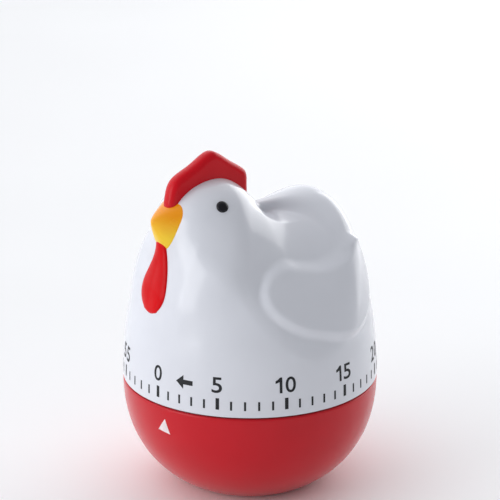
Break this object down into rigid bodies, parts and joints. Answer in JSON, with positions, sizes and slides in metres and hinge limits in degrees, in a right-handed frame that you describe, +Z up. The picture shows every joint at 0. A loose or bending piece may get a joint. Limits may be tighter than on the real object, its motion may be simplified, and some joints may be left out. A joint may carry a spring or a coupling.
{
  "type": "clockwork kitchen timer",
  "caption": "Kitchen timer shaped as a sitting hen: a white hen-shaped winding knob with a printed minute dial turns on a red round base that holds a spring movement and a bell.",
  "frame": {"origin": "centre of the flat foot, on the turning axis", "axes": "+Z up along the dial's turning axis; the hen faces -Y; +X is the hen's left"},
  "size_m": [0.06, 0.06, 0.0812],
  "materials": {
    "white_plastic": "glossy moulded",
    "red_plastic": "glossy moulded",
    "comb_red": "glossy paint",
    "beak_yellow": "satin gloss paint",
    "eye_black": "glossy",
    "dial_ink": "pad printed",
    "pointer_white": "pad printed",
    "foot_rubber": "matt",
    "plate_steel": "stamped",
    "screw_steel": "turned",
    "spring_steel": "blued",
    "wheel_brass": "stamped",
    "bell_metal": "plated",
    "nylon": "moulded"
  },
  "bodies": {
    "base": {"base_shell": "red_plastic", "foot_ring": "foot_rubber", "pointer_mark": "pointer_white", "base_cover": "red_plastic", "cover_screws": "screw_steel", "lower_plate": "plate_steel", "upper_plate": "plate_steel", "pillars": "screw_steel", "pillar_nuts": "wheel_brass", "movement_screws": "screw_steel", "lower_bush": "wheel_brass", "upper_bush": "wheel_brass", "stop_pin": "screw_steel", "mainspring": "spring_steel", "spring_post": "screw_steel", "bell": "bell_metal", "bell_screw": "wheel_brass", "trip_stud": "screw_steel"},
    "dial": {"chicken_shell": "white_plastic", "comb": "comb_red", "beak": "beak_yellow", "wattle": "comb_red", "left_eye": "eye_black", "right_eye": "eye_black", "scale_marks": "dial_ink", "drive_disc": "nylon", "main_arbor": "screw_steel", "ratchet_wheel": "wheel_brass", "cam_disc": "wheel_brass", "arbor_clip": "screw_steel"},
    "great_wheel": {"great_wheel": "wheel_brass", "click": "plate_steel", "click_spring": "spring_steel"},
    "second_wheel": {"second_wheel": "wheel_brass", "second_arbor": "screw_steel"},
    "third_wheel": {"third_wheel": "wheel_brass", "third_arbor": "screw_steel"},
    "escape_wheel": {"escape_wheel": "wheel_brass", "escape_arbor": "screw_steel"},
    "balance": {"pallet_lever": "plate_steel", "balance_arbor": "screw_steel", "balance_bar": "wheel_brass"},
    "hammer": {"hammer": "plate_steel", "hammer_arbor": "screw_steel"},
    "trip_lever": {"trip_lever": "plate_steel"}
  },
  "joints": [
    {"name": "dial_turn", "type": "hinge", "parent": "base", "child": "dial", "pos_m": [0, 0, 0], "axis": [0, 0, -1], "range_deg": [0, 345]},
    {"name": "great_spin", "type": "hinge", "parent": "base", "child": "great_wheel", "pos_m": [0, 0, 0], "axis": [0, 0, -1], "range_deg": [0, 345]},
    {"name": "second_spin", "type": "hinge", "parent": "base", "child": "second_wheel", "pos_m": [-0.0106, -0.00612, 0], "axis": [0, 0, -1], "range_deg": [-2588.5, 1]},
    {"name": "third_spin", "type": "hinge", "parent": "base", "child": "third_wheel", "pos_m": [-0.00384, -0.01294, 0], "axis": [0, 0, -1], "range_deg": [-1, 18113.5]},
    {"name": "escape_spin", "type": "hinge", "parent": "base", "child": "escape_wheel", "pos_m": [0.00385, -0.01656, 0], "axis": [0, 0, -1], "range_deg": [-135844.75, 1]},
    {"name": "balance_rock", "type": "hinge", "parent": "base", "child": "balance", "pos_m": [0.01048, -0.01338, 0], "axis": [0, 0, 1], "range_deg": [-7, 7]},
    {"name": "hammer_swing", "type": "hinge", "parent": "base", "child": "hammer", "pos_m": [-0.00977, 0.01164, 0], "axis": [0, 0, -1], "range_deg": [0, 14], "stiffness_Nm_per_rad": 0.0002, "springref_deg": -11.46},
    {"name": "trip_drop", "type": "hinge", "parent": "base", "child": "trip_lever", "pos_m": [-0.00122, 0.01395, 0], "axis": [0, 0, 1], "range_deg": [-8, 0], "stiffness_Nm_per_rad": 0.0002, "springref_deg": 5.73}
  ],
  "couplings": [
    {"joint": "great_spin", "follows": "dial_turn", "ratio": 1},
    {"joint": "second_spin", "follows": "dial_turn", "ratio": -7.5},
    {"joint": "third_spin", "follows": "dial_turn", "ratio": 52.5},
    {"joint": "escape_spin", "follows": "dial_turn", "ratio": -393.75}
  ]
}
